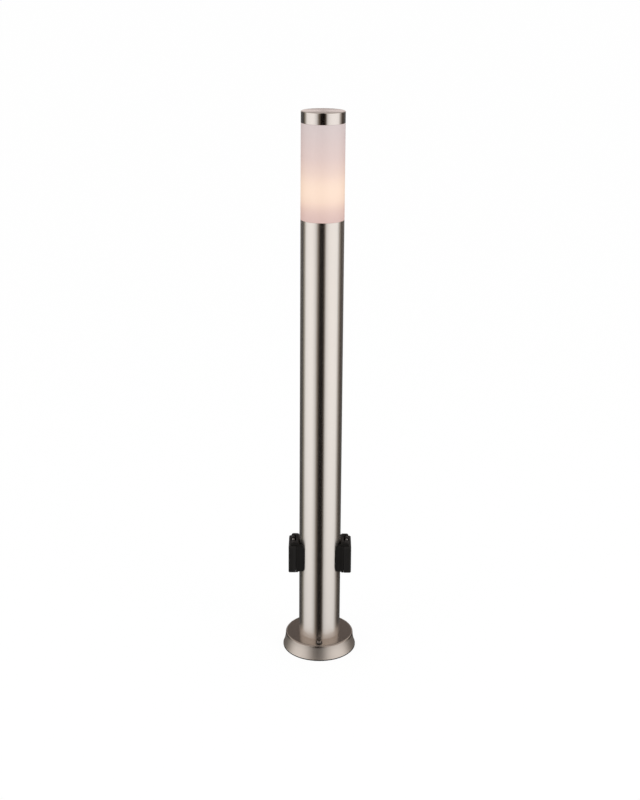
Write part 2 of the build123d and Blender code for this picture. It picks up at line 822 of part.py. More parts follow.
def saddle_gasket():
    zc = socket_height_above_ground
    reach = tube_radius + cut_overrun
    body = rounded_plate(socket_body_width - 2 * saddle_gasket_inset, socket_height - 2 * saddle_gasket_inset,
                         socket_corner_radius - saddle_gasket_inset, 0, reach + saddle_gasket_thickness, zc)
    body &= ring(saddle_radius, tube_radius, zc - socket_height, zc + socket_height)
    body -= rod_x(tube_socket_hole_diameter / 2, 0, reach + cut_overrun, 0, zc)
    for y, z in socket_screw_places():
        body -= rod_x(socket_screw_diameter / 2 + socket_screw_fit, 0, reach + cut_overrun, y, z)
    return body


def hinge_ears():
    """The two ears of the frame, on a hood that stands on its top edge."""
    top = hinge_z + knuckle_radius
    low = socket_height_above_ground + socket_height / 2 - socket_front_wall
    hood = block((socket_front_x - hood_depth, socket_front_x), (-hinge_half_width, hinge_half_width),
                 (low, top))
    hood = fillet(hood.edges().filter_by(Axis.Y).group_by(Axis.Z)[-1].sort_by(Axis.X)[:1],
                  knuckle_radius)
    hood = fillet(hood.edges().filter_by(Axis.X).group_by(Axis.Z)[-1], socket_edge_radius)
    inner = hinge_half_width - ear_width
    ears = Part()
    for side in (-1, 1):
        near, far = sorted((side * inner, side * hinge_half_width))
        ear = rod_y(knuckle_radius, near, far, hinge_x, hinge_z)
        ear += block((socket_front_x - hood_depth / 2, hinge_x), (near, far),
                     (hinge_z - knuckle_radius, hinge_z + knuckle_radius))
        ears += ear
    bar = rod_y(knuckle_radius + knuckle_gap, -inner, inner, hinge_x, hinge_z)
    bore = rod_y(hinge_pin_diameter / 2, -hinge_half_width - cut_overrun,
                 hinge_half_width + cut_overrun, hinge_x, hinge_z)
    return hood - bar + ears - bore


def socket_frame():
    zc = socket_height_above_ground
    rim_x = socket_front_x - socket_rim_depth
    body = rounded_plate(socket_width, socket_height, socket_corner_radius, rim_x, socket_front_x, zc)
    body = fillet(body.faces().sort_by(Axis.X)[-1].edges(), socket_edge_radius)
    body += rounded_plate(socket_body_width, socket_height, socket_corner_radius, 0, rim_x, zc)
    hollow = rounded_plate(socket_body_width - 2 * socket_wall, socket_height - 2 * socket_wall,
                           socket_corner_radius - socket_wall, -cut_overrun,
                           socket_front_x - socket_front_wall, zc)
    body -= hollow
    sleeve_radius = insert_body_diameter / 2 + insert_fit
    inside = rod_x(sleeve_radius + socket_wall, 0, socket_front_x - socket_front_wall, 0, zc)
    for y, z in socket_screw_places():
        inside += rod_x(socket_boss_diameter / 2, 0, socket_front_x - socket_front_wall, y, z)
    body += inside
    body += hinge_ears()
    body -= rod(saddle_radius, zc - socket_height, zc + socket_height)
    body -= block((-tube_radius, tube_bore_radius / 2), (-socket_width, socket_width),
                  (zc - socket_height, zc + socket_height))
    body -= rod_x(sleeve_radius, 0, socket_front_x + cut_overrun, 0, zc)
    body -= rod_x(insert_flange_diameter / 2 + insert_fit, socket_front_x - insert_flange_thickness,
                  socket_front_x + cut_overrun, 0, zc)
    for y, z in socket_screw_places():
        body -= rod_x(socket_screw_diameter / 2 + socket_screw_fit, 0, socket_front_x + cut_overrun, y, z)
        body -= screw_head(y, z, socket_screw_fit, cut_overrun)
    return body


def screw_head(y, z, fit, overrun):
    """The countersunk head of a frame screw, or the seat for it."""
    radius = socket_screw_head_diameter / 2 + fit
    low = socket_screw_diameter / 2 + fit
    far = socket_front_x
    near = far - socket_screw_head_height
    head = Pos(near, y, z) * Rot(0, quarter_turn, 0) * Cone(low, radius, far - near, align=UP)
    if overrun:
        head += rod_x(radius, far, far + overrun, y, z)
    return head


def socket_screws():
    body = Part()
    for y, z in socket_screw_places():
        far = socket_front_x
        screw = screw_head(y, z, 0, 0)
        screw += rod_x(socket_screw_diameter / 2, far - socket_screw_length, far, y, z)
        for width, height in ((screw_recess_width, screw_recess_thickness),
                              (screw_recess_thickness, screw_recess_width)):
            screw -= block((far - screw_recess_depth, far + cut_overrun), (y - width / 2, y + width / 2),
                           (z - height / 2, z + height / 2))
        body += screw
    return body


def socket_insert():
    zc = socket_height_above_ground
    body = rod_x(insert_body_diameter / 2, insert_back_x, socket_front_x, 0, zc)
    body += rod_x(insert_flange_diameter / 2, socket_front_x - insert_flange_thickness, socket_front_x,
                  0, zc)
    body -= rod_x(recess_diameter / 2, insert_floor_x, socket_front_x + cut_overrun, 0, zc)
    mouth = Pos(socket_front_x - recess_mouth_chamfer, 0, zc) * Rot(0, quarter_turn, 0) * Cone(
        recess_diameter / 2, recess_diameter / 2 + recess_mouth_chamfer, recess_mouth_chamfer, align=UP)
    body -= mouth
    for side in (-1, 1):
        rib_out = side * (recess_diameter / 2 + insert_fit)
        rib_in = side * (recess_diameter / 2 - guide_rib_height)
        low, high = sorted((rib_out, rib_in))
        rib = block((insert_floor_x, socket_front_x - guide_rib_setback), (low, high),
                    (zc - guide_rib_width / 2, zc + guide_rib_width / 2))
        body += rib
        hole_y = side * pin_spacing / 2
        body -= rod_x(pin_hole_diameter / 2, insert_back_x - cut_overrun, insert_floor_x + cut_overrun,
                      hole_y, zc)
        body -= Pos(insert_floor_x - pin_hole_chamfer, hole_y, zc) * Rot(0, quarter_turn, 0) * Cone(
            pin_hole_diameter / 2, pin_hole_diameter / 2 + pin_hole_chamfer, pin_hole_chamfer, align=UP)
        slot_mid = zc + side * earth_strip_radius
        half_slot = earth_strip_thickness / 2 + earth_slot_fit
        body -= block((insert_back_x - cut_overrun, insert_floor_x + cut_overrun),
                      (-earth_strip_width / 2 - earth_slot_fit, earth_strip_width / 2 + earth_slot_fit),
                      (slot_mid - half_slot, slot_mid + half_slot))
    return body


def socket_contacts():
    zc = socket_height_above_ground
    body = Part()
    near = insert_back_x - contact_tube_length
    for side in (-1, 1):
        y = side * pin_spacing / 2
        outer = contact_tube_bore_diameter / 2 + contact_tube_wall
        tube = rod_x(outer, near, insert_back_x, y, zc)
        tube += block((near, near + contact_block_depth),
                      (y - contact_block_width / 2, y + contact_block_width / 2),
                      (zc - contact_block_height / 2, zc + contact_block_height / 2))
        tube -= rod_x(contact_tube_bore_diameter / 2, near + contact_block_depth / 2,
                      insert_back_x + cut_overrun, y, zc)
        tube -= block((near + contact_block_depth, insert_back_x + cut_overrun),
                      (y - contact_slit_width / 2, y + contact_slit_width / 2),
                      (zc, zc + contact_tube_bore_diameter))
        body += tube
    return body


def earth_clip():
    zc = socket_height_above_ground
    strap_x = insert_back_x - earth_strip_thickness / 2
    tip_x = insert_floor_x + earth_strip_reach
    route = []
    for side in (-1, 1):
        outer = zc + side * earth_strip_radius
        inner = zc + side * (earth_strip_radius - earth_tip_bend)
        arm = [(tip_x + earth_tip_length / 2, outer), (tip_x, inner), (tip_x - earth_tip_length, outer),
               (strap_x, outer)]
        route += arm if side < 0 else arm[::-1]
    profile = trace(Polyline(*route), earth_strip_thickness)
    return extrude(Plane.XZ * profile, earth_strip_width / 2, both=True)


def rear_cover():
    zc = socket_height_above_ground
    outer = insert_body_diameter / 2
    body = rod_x(outer, rear_cover_x, insert_back_x, 0, zc)
    body = fillet(body.edges().group_by(Axis.X)[0], rear_cover_wall / 2)
    body -= rod_x(outer - rear_cover_wall, rear_cover_x + rear_cover_wall, insert_back_x + cut_overrun,
                  0, zc)
    inlet = rod(socket_lead_diameter / 2 + lead_fit, zc - outer - cut_overrun, zc - outer / 2,
                insert_back_x - rear_inlet_offset, 0)
    return body - inlet


def lid_plate(near, far, inset, radius):
    zc = socket_height_above_ground
    return rounded_plate(lid_width - 2 * inset, lid_height - 2 * inset, radius, near, far, zc)


def socket_lid():
    zc = socket_height_above_ground
    body = lid_plate(lid_back_x, lid_front_x, 0, socket_corner_radius)
    body = fillet(body.faces().sort_by(Axis.X)[-1].edges(), lid_face_radius)
    body -= lid_plate(lid_back_x - cut_overrun, lid_front_x - lid_wall, lid_wall,
                      socket_corner_radius - lid_wall)
    for side in (-1, 1):
        rib_y = side * lid_width / 4
        body += block((lid_front_x - lid_wall - lid_rib_depth, lid_front_x - lid_wall),
                      (rib_y - lid_rib_thickness / 2, rib_y + lid_rib_thickness / 2),
                      (zc - lid_height / 2 + lid_wall / 2, zc + lid_height / 2 - lid_wall / 2))
    seal_outer = lid_seal_diameter / 2 + lid_seal_width / 2
    seal_inner = lid_seal_diameter / 2 - lid_seal_width / 2
    wall_outer = rod_x(seal_outer + lid_rib_thickness, lid_back_x, lid_front_x - lid_wall, 0, zc)
    wall_inner = rod_x(seal_inner - lid_rib_thickness, lid_back_x - cut_overrun, lid_front_x, 0, zc)
    seat = wall_outer & lid_plate(lid_back_x, lid_front_x, 0, socket_corner_radius)
    body += seat - (wall_inner & lid_plate(0, lid_front_x - lid_wall, 0, socket_corner_radius))
    body -= rod_x(seal_outer, 0, lid_back_x + lid_seal_groove_depth, 0, zc) - rod_x(
        seal_inner, 0, lid_back_x + lid_seal_groove_depth, 0, zc)
    tab_low = zc - lid_height / 2 - lid_tab_drop
    tab = block((lid_back_x, lid_back_x + lid_tab_thickness), (-lid_tab_width / 2, lid_tab_width / 2),
                (tab_low, zc - lid_height / 2 + lid_wall))
    body += fillet(tab.edges().filter_by(Axis.X).group_by(Axis.Z)[0], lid_tab_drop)
    body -= hinge_clearance()
    return body + lid_knuckles()


def hinge_clearance():
    """Room in the lid for the ears, the spring and the turning of its own top edge."""
    radius = knuckle_radius + knuckle_gap
    span = hinge_half_width + knuckle_gap
    room = rod_y(radius, -span, span, hinge_x, hinge_z)
    room += block((0, hinge_x), (-span, span), (hinge_z - radius, hinge_z + radius))
    room += block((0, hinge_x + radius), (-span, span), (hinge_z, hinge_z + radius))
    return room


def lid_knuckles():
    body = Part()
    inner = spring_bay_width / 2
    outer = inner + lid_knuckle_width
    for side in (-1, 1):
        near, far = sorted((side * inner, side * outer))
        knuckle = rod_y(knuckle_radius, near, far, hinge_x, hinge_z)
        root = block((hinge_x, lid_front_x - lid_face_radius), (near, far),
                     (hinge_z - knuckle_radius, socket_height_above_ground + lid_height / 2))
        knuckle += root
        body += knuckle - rod_y(hinge_pin_diameter / 2 + hinge_pin_fit, near - cut_overrun,
                                far + cut_overrun, hinge_x, hinge_z)
    return body


def lid_seal():
    outer = lid_seal_diameter / 2 + lid_seal_width / 2
    inner = lid_seal_diameter / 2 - lid_seal_width / 2
    far = lid_back_x + lid_seal_groove_depth
    near = socket_front_x + lid_seal_squeeze
    zc = socket_height_above_ground
    return rod_x(outer, near, far, 0, zc) - rod_x(inner, near - cut_overrun, far + cut_overrun, 0, zc)


def hinge_pin():
    return rod_y(hinge_pin_diameter / 2, -hinge_half_width, hinge_half_width, hinge_x, hinge_z)


def lid_spring():
    """A torsion spring round the pin, with one leg to the hood and one to the lid."""
    radius = spring_mean_diameter / 2
    wire = spring_wire_diameter / 2
    height = spring_turns * spring_pitch
    path = Helix(pitch=spring_pitch, height=height, radius=radius)
    start = Plane(origin=path @ 0, z_dir=path % 0)
    coil = sweep(start * Circle(wire), path=path, is_frenet=True)
    coil = Rot(quarter_turn, 0, 0) * Rot(0, 0, -quarter_turn) * coil
    coil = Pos(hinge_x, height / 2, hinge_z) * coil
    print("spring self gap", round(spring_self_gap(), 2))
    room = sqrt((knuckle_radius + knuckle_gap) ** 2 - (radius + wire) ** 2) - spring_leg_fit
    leg_z = hinge_z - radius
    legs = rod_x(wire, socket_front_x + spring_leg_fit, hinge_x + wire, height / 2, leg_z)
    legs += rod_x(wire, hinge_x - wire, hinge_x + room, -height / 2, leg_z)
    return coil + legs


def spring_self_gap():
    """Least distance between the surfaces of neighbouring turns, measured on points."""
    steps = 48
    turn_points = []
    for step in range(int(spring_turns * steps) + 1):
        angle = 2 * pi * step / steps
        turn_points.append(Vector(spring_mean_diameter / 2 * cos(angle),
                                  spring_mean_diameter / 2 * sin(angle), spring_pitch * step / steps))
    least = min((turn_points[index] - other).length
                for index in range(len(turn_points))
                for other in turn_points[index + steps // 2:index + 2 * steps])
    return least - spring_wire_diameter


def save(node, shape):
    export_step(shape, os.path.join("parts", node + ".step"))


def build():
    save("ground_gasket", ground_gasket())
    save("mounting_plate", mounting_plate())
    save("flange_cover", flange_cover())
    save("cover_standoffs", standoffs())
    save("cover_washers", cover_washers())
    save("cover_screws", cover_screws())
    save("cable_grommet", cable_grommet())
    save("terminal_bracket", terminal_bracket())
    save("bracket_screws", bracket_screws())
    save("terminal_block", terminal_block())
    save("terminal_sleeves", terminal_sleeves())
    save("terminal_clamp_screws", clamp_screws())
    save("terminal_fixings", terminal_fixings())
    save("post_tube", post_tube())
    save("lamp_lead", lamp_lead())
    save("lamp_carrier", lamp_carrier())
    save("lampholder_shell", lampholder_shell())
    save("lampholder_sleeve", lampholder_sleeve())
    save("lampholder_contact", lampholder_contact())
    save("holder_screws", holder_screws())
    save("bulb_cap", bulb_cap())
    save("bulb_contact", bulb_contact())
    save("bulb_body", bulb_body())
    save("bulb_globe", bulb_globe())
    save("diffuser", diffuser())
    save("diffuser_seal", diffuser_seal())
    save("top_cap", top_cap())
    save("cap_insert", cap_insert())
    save("cap_seal", cap_seal())
    pieces = {
        "socket_lead": socket_lead(),
        "saddle_gasket": saddle_gasket(),
        "socket_frame": socket_frame(),
        "socket_screws": socket_screws(),
        "socket_insert": socket_insert(),
        "socket_contacts": socket_contacts(),
        "earth_clip": earth_clip(),
        "rear_cover": rear_cover(),
        "lid": socket_lid(),
        "lid_seal": lid_seal(),
        "hinge_pin": hinge_pin(),
        "lid_spring": lid_spring(),
    }
    for side, turn in (("right", 0), ("left", half_turn)):
        for name, shape in pieces.items():
            save(side + "_" + name, shape.rotate(Axis.Z, turn))


build()
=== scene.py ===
import json
import math

import bmesh
import bpy
from mathutils import Matrix, Vector


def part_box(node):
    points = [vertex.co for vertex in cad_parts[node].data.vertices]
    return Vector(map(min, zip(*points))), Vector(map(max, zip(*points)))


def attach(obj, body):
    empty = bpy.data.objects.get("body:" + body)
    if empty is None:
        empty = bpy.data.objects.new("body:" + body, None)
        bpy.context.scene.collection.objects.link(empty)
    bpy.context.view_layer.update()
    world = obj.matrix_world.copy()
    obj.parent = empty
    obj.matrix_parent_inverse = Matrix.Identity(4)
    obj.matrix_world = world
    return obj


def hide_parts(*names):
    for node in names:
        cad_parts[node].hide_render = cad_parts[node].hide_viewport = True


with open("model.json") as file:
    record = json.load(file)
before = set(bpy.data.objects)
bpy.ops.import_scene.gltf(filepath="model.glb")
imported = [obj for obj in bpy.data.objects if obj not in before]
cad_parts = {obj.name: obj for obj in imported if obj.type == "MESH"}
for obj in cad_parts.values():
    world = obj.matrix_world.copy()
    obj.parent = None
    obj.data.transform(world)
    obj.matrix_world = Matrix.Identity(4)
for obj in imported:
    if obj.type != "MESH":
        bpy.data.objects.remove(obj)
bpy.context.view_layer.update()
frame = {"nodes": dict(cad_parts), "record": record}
MM = 0.001

# Places read from the frame
tube_low, tube_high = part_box("post_tube")
tube_radius = tube_high.x
tube_top = tube_high.z
cap_low, cap_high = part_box("top_cap")
diffuser_low, diffuser_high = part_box("diffuser")
cover_low, cover_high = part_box("flange_cover")

# Photograph: its frame, and the camera worked out from the tube, cap and base in it
photo_width, photo_height = 640, 800
sensor_width = 36.0
focal_pixels = 1319.8
principal_x, principal_y = 321.68, 320.0
camera_distance = 2.2381
camera_height = 1.2603
camera_pitch = 15.65
camera_lean = 0.449

STEPS = 160
SHARP_ANGLE = math.radians(32)


def camera():
    """The photograph's own view of the post."""
    data = bpy.data.cameras.new("photo_camera")
    data.sensor_width = sensor_width
    data.lens = focal_pixels * sensor_width / photo_height
    data.shift_x = -(principal_x - photo_width / 2) / photo_height
    data.shift_y = (principal_y - photo_height / 2) / photo_height
    data.clip_start = 0.01
    obj = bpy.data.objects.new("photo_camera", data)
    bpy.context.scene.collection.objects.link(obj)
    look = Matrix.Rotation(math.radians(90 - camera_pitch), 4, "X")
    lean = Matrix.Rotation(math.radians(camera_lean), 4, "Z")
    obj.matrix_world = Matrix.Translation((0, -camera_distance, camera_height)) @ look @ lean
    bpy.context.scene.camera = obj


class Nodes:
    """A short way to lay out and join a material's nodes."""

    def __init__(self, tree):
        self.tree = tree
        tree.nodes.clear()

    def add(self, kind, values=None, **settings):
        node = self.tree.nodes.new(kind)
        for key, value in settings.items():
            setattr(node, key, value)
        for key, value in (values or {}).items():
            node.inputs[key].default_value = value
        return node

    def join(self, out, into):
        self.tree.links.new(out, into)

    def maths(self, operation, first, second=0.0, third=0.0):
        node = self.add("ShaderNodeMath", operation=operation)
        for socket, value in zip(node.inputs, (first, second, third)):
            if isinstance(value, (int, float)):
                socket.default_value = value
            else:
                self.join(value, socket)
        return node.outputs[0]

    def ramp(self, factor, stops, interpolation="LINEAR"):
        node = self.add("ShaderNodeValToRGB")
        band = node.color_ramp
        band.interpolation = interpolation
        while len(band.elements) > 1:
            band.elements.remove(band.elements[-1])
        band.elements[0].position = stops[0][0]
        band.elements[0].color = shade(stops[0][1])
        for place, colour in stops[1:]:
            band.elements.new(place).color = shade(colour)
        self.join(factor, node.inputs[0])
        return node.outputs[0]


def shade(colour):
    """A grey level or a colour as the four numbers that a colour socket takes."""
    if isinstance(colour, (int, float)):
        return (colour, colour, colour, 1.0)
    return (*colour, 1.0)


def new_material(name):
    """An empty material and the layout of its nodes."""
    material = bpy.data.materials.new(name)
    material.use_nodes = True
    return material, Nodes(material.node_tree)


def surface(nodes, values):
    """A surface shader that is joined to the material's output."""
    shader = nodes.add("ShaderNodeBsdfPrincipled", values)
    output = nodes.add("ShaderNodeOutputMaterial")
    nodes.join(shader.outputs[0], output.inputs["Surface"])
    return shader


def noise(nodes, scale, detail=2.0, stretch=(1, 1, 1), roughness=0.5):
    """Noise in the piece's own metres, drawn out along an axis by a small stretch there."""
    place = nodes.add("ShaderNodeTexCoord")
    mapping = nodes.add("ShaderNodeMapping", {"Scale": stretch})
    texture = nodes.add("ShaderNodeTexNoise", {"Scale": scale, "Detail": detail, "Roughness": roughness})
    nodes.join(place.outputs["Object"], mapping.inputs["Vector"])
    nodes.join(mapping.outputs[0], texture.inputs["Vector"])
    return texture.outputs["Fac"]


def bump(nodes, shader, height, strength, distance):
    """Fine relief from a height pattern."""
    node = nodes.add("ShaderNodeBump", {"Strength": strength, "Distance": distance})
    nodes.join(height, node.inputs["Height"])
    nodes.join(node.outputs[0], shader.inputs["Normal"])


def round_grain(nodes, shader, spread):
    """Draws highlights out along the post, as grain that runs round its axis does."""
    shader.inputs["Anisotropic"].default_value = spread
    shader.inputs["Anisotropic Rotation"].default_value = 0.25
    tangent = nodes.add("ShaderNodeTangent", direction_type="RADIAL", axis="Z")
    nodes.join(tangent.outputs[0], shader.inputs["Tangent"])


def brushed_steel(name, colour, low_rough, high_rough, spread):
    """Satin steel: fine grain that runs round the post, with faint cloudy patches."""
    material, nodes = new_material(name)
    shader = surface(nodes, {"Metallic": 1.0})
    round_grain(nodes, shader, spread)
    grain = noise(nodes, 1600.0, 3.0, (0.06, 0.06, 1), 0.6)
    cloud = noise(nodes, 22.0, 2.0)
    mixed = nodes.maths("ADD", nodes.maths("MULTIPLY", grain, 0.7), nodes.maths("MULTIPLY", cloud, 0.3))
    rough = nodes.maths("MULTIPLY_ADD", mixed, high_rough - low_rough, low_rough)
    nodes.join(rough, shader.inputs["Roughness"])
    darker = tuple(channel * 0.95 for channel in colour)
    tone = nodes.ramp(mixed, [(0.3, darker), (0.7, colour)])
    nodes.join(tone, shader.inputs["Base Color"])
    bump(nodes, shader, grain, 0.12, 0.00002)
    return material


def cover_steel_painted_shade():
    """The pressed cover: glossier on its flat top and lip and duller on its skirt, with painted shade that
    makes the flat top and lip darker than the paler skirt.
    """
    material, nodes = new_material("cover_steel")
    shader = surface(nodes, {"Metallic": 1.0})
    place = nodes.add("ShaderNodeTexCoord")
    split = nodes.add("ShaderNodeSeparateXYZ")
    nodes.join(place.outputs["Object"], split.inputs[0])
    height = nodes.add("ShaderNodeMapRange", {"From Min": cover_low.z, "From Max": cover_high.z})
    nodes.join(split.outputs["Z"], height.inputs["Value"])
    dull = nodes.ramp(height.outputs[0], [(0.0, 0.30), (0.06, 0.40), (0.80, 0.40), (0.92, 0.20), (1.0, 0.17)])
    grain = noise(nodes, 1300.0, 3.0, (0.3, 0.3, 1), 0.6)
    nodes.join(nodes.maths("MULTIPLY_ADD", grain, 0.06, dull), shader.inputs["Roughness"])
    # Painted shade: the colour steps from the pale skirt to a darker lip and flat top, standing in for their
    # darker reflection.
    tone = nodes.ramp(height.outputs[0], [(0.0, (0.74, 0.66, 0.595)), (0.80, (0.74, 0.66, 0.595)),
                                          (0.92, (0.46, 0.40, 0.355)), (1.0, (0.50, 0.44, 0.395))])
    nodes.join(tone, shader.inputs["Base Color"])
    bump(nodes, shader, grain, 0.12, 0.00003)
    return material


def moulded(name, colour, rough, grain_scale, strength, depth, specular=0.5):
    """Moulded plastic or rubber with a fine even grain and slight unevenness of shade."""
    material, nodes = new_material(name)
    shader = surface(nodes, {"Specular IOR Level": specular})
    grain = noise(nodes, grain_scale, 2.0)
    cloud = noise(nodes, 60.0, 2.0)
    nodes.join(nodes.maths("MULTIPLY_ADD", cloud, 0.12, rough - 0.06), shader.inputs["Roughness"])
    lighter = tuple(min(1.0, channel * 1.12) for channel in colour)
    nodes.join(nodes.ramp(cloud, [(0.35, colour), (0.7, lighter)]), shader.inputs["Base Color"])
    bump(nodes, shader, grain, strength, depth)
    return material


def opal():
    """Opal plastic with a painted glow: emission by height stands in for the lamp's light through it, warm
    round the lamp and fading to a cool white under the cap.
    """
    material, nodes = new_material("opal_plastic")
    shader = surface(nodes, {"Base Color": (0.57, 0.52, 0.515, 1.0), "IOR": 1.49})
    place = nodes.add("ShaderNodeTexCoord")
    split = nodes.add("ShaderNodeSeparateXYZ")
    nodes.join(place.outputs["Object"], split.inputs[0])
    height = nodes.add("ShaderNodeMapRange", {"From Min": tube_top, "From Max": cap_low.z})
    nodes.join(split.outputs["Z"], height.inputs["Value"])
    # Painted light: the glow colour by height, brightest round the lamp and dim under the cap.
    glow = nodes.ramp(height.outputs[0], [
        (0.00, (0.20, 0.05, 0.02)),
        (0.12, (0.28, 0.11, 0.05)),
        (0.22, (0.47, 0.29, 0.15)),
        (0.38, (0.48, 0.30, 0.16)),
        (0.50, (0.34, 0.19, 0.11)),
        (0.66, (0.24, 0.12, 0.09)),
        (1.00, (0.14, 0.10, 0.10)),
    ], "B_SPLINE")
    nodes.join(glow, shader.inputs["Emission Color"])
    shader.inputs["Emission Strength"].default_value = 1.0
    cloud = noise(nodes, 30.0, 2.0)
    nodes.join(nodes.maths("MULTIPLY_ADD", cloud, 0.08, 0.32), shader.inputs["Roughness"])
    bump(nodes, shader, noise(nodes, 900.0, 2.0), 0.05, 0.0001)
    return material


def plain(name, colour, rough, metallic=0.0, glow=None):
    """Small inner parts: one tone with a slight variation of sheen and shade."""
    material, nodes = new_material(name)
    values = {"Metallic": metallic}
    if glow:
        values["Emission Color"] = shade(glow)
        values["Emission Strength"] = 1.0
    shader = surface(nodes, values)
    cloud = noise(nodes, 180.0, 3.0)
    nodes.join(nodes.maths("MULTIPLY_ADD", cloud, 0.1, rough - 0.05), shader.inputs["Roughness"])
    darker = tuple(channel * 0.92 for channel in colour)
    nodes.join(nodes.ramp(cloud, [(0.3, darker), (0.7, colour)]), shader.inputs["Base Color"])
    bump(nodes, shader, noise(nodes, 1500.0, 2.0), 0.05, 0.0001)
    return material


STEEL = (0.93, 0.867, 0.808)
FINISHES = {
    "tube_steel": brushed_steel("tube_steel", STEEL, 0.23, 0.26, 0.98),
    "cap_steel": brushed_steel("cap_steel", (0.86, 0.785, 0.735), 0.14, 0.18, 0.85),
    "cover_steel": cover_steel_painted_shade(),
    "opal_plastic": opal(),
    "socket_black": moulded("socket_black", (0.010, 0.009, 0.008), 0.48, 2600.0, 0.25, 0.00008, 0.16),
    "lid_black": moulded("lid_black", (0.012, 0.011, 0.010), 0.42, 2600.0, 0.25, 0.00008, 0.30),
    "insert_black": moulded("insert_black", (0.022, 0.021, 0.020), 0.38, 2000.0, 0.2, 0.00006),
    "rubber_black": moulded("rubber_black", (0.014, 0.013, 0.012), 0.65, 1800.0, 0.35, 0.0001, 0.3),
    "lead_sheath": moulded("lead_sheath", (0.03, 0.03, 0.03), 0.5, 1500.0, 0.2, 0.0001),
    # Painted shade: this steel is set far darker than bare steel, standing in for the shade that makes the
    # screw heads and pin ends look dark.
    "screw_steel": plain("screw_steel", (0.26, 0.23, 0.21), 0.2, 1.0),
    "spring_steel": plain("spring_steel", (0.55, 0.54, 0.53), 0.3, 1.0),
    "zinc_steel": plain("zinc_steel", (0.55, 0.56, 0.58), 0.45, 1.0),
    "brass": plain("brass", (0.78, 0.58, 0.28), 0.3, 1.0),
    "bulb_cap_metal": plain("bulb_cap_metal", (0.75, 0.75, 0.76), 0.3, 1.0),
    "terminal_plastic": plain("terminal_plastic", (0.80, 0.79, 0.74), 0.45),
    "carrier_plastic": plain("carrier_plastic", (0.74, 0.74, 0.72), 0.5),
    "holder_plastic": plain("holder_plastic", (0.84, 0.83, 0.79), 0.3),
    "bulb_plastic": plain("bulb_plastic", (0.85, 0.85, 0.83), 0.45),
    "bulb_glass": plain("bulb_glass", (0.74, 0.70, 0.62), 0.35, 0.0, (0.26, 0.20, 0.10)),
}
slot_of = {row["node"]: row["material_slot"] for row in frame["record"]["subparts"]}


def paint_nodes():
    """Every node of the frame gets the finish of its slot."""
    for name, node in frame["nodes"].items():
        node.data.materials.clear()
        node.data.materials.append(FINISHES[slot_of[name]])


def make_piece(name, mesh, node, body):
    """A finished bmesh becomes a piece that stands for a node of the frame and rides on its body."""
    piece = loose_piece(name, mesh, slot_of[node], body)
    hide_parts(node)


def loose_piece(name, mesh, finish, body):
    """A finished bmesh becomes a piece of one finish that rides on a body."""
    data = bpy.data.meshes.new(name)
    bmesh.ops.recalc_face_normals(mesh, faces=mesh.faces)
    for edge in mesh.edges:
        edge.smooth = not (edge.is_manifold and edge.calc_face_angle(0.0) > SHARP_ANGLE)
    for face in mesh.faces:
        face.smooth = True
    mesh.to_mesh(data)
    mesh.free()
    piece = bpy.data.objects.new(name, data)
    bpy.context.scene.collection.objects.link(piece)
    data.materials.append(FINISHES[finish])
    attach(piece, body)
    return piece


def arc(centre, radius, start, end, count=6):
    """Points of an arc in radius and height, from one angle to another in degrees."""
    points = []
    for step in range(count + 1):
        angle = math.radians(start + (end - start) * step / count)
        points.append((centre[0] + radius * math.cos(angle), centre[1] + radius * math.sin(angle)))
    return points


def spun(outline, steps=STEPS):
    """A closed outline in radius and height, spun about the upright axis."""
    mesh = bmesh.new()
    corners = [mesh.verts.new((radius, 0, height)) for radius, height in outline]
    for index, corner in enumerate(corners):
        mesh.edges.new((corner, corners[(index + 1) % len(corners)]))
    bmesh.ops.spin(mesh, geom=mesh.verts[:] + mesh.edges[:], cent=(0, 0, 0), axis=(0, 0, 1),
                   angle=2 * math.pi, steps=steps, use_merge=True)
    bmesh.ops.remove_doubles(mesh, verts=mesh.verts, dist=1e-6)
    return mesh


def floor():
    """A wide pale floor; the camera sees it near white, with the post's faint shadow."""
    mesh = bmesh.new()
    bmesh.ops.create_circle(mesh, cap_ends=True, radius=60.0, segments=64)
    data = bpy.data.meshes.new("studio_floor")
    mesh.to_mesh(data)
    mesh.free()
    obj = bpy.data.objects.new("studio_floor", data)
    bpy.context.scene.collection.objects.link(obj)
    material, nodes = new_material("studio_floor")
    matt = nodes.add("ShaderNodeBsdfDiffuse", {"Color": shade(0.85)})
    white = nodes.add("ShaderNodeEmission", {"Color": shade(1.0), "Strength": 1.03})
    mix = nodes.add("ShaderNodeMixShader")
    path = nodes.add("ShaderNodeLightPath")
    share = nodes.maths("MULTIPLY", path.outputs["Is Camera Ray"], 0.90)
    output = nodes.add("ShaderNodeOutputMaterial")
    nodes.join(share, mix.inputs[0])
    nodes.join(matt.outputs[0], mix.inputs[1])
    nodes.join(white.outputs[0], mix.inputs[2])
    nodes.join(mix.outputs[0], output.inputs["Surface"])
    data.materials.append(material)
    obj.visible_glossy = False


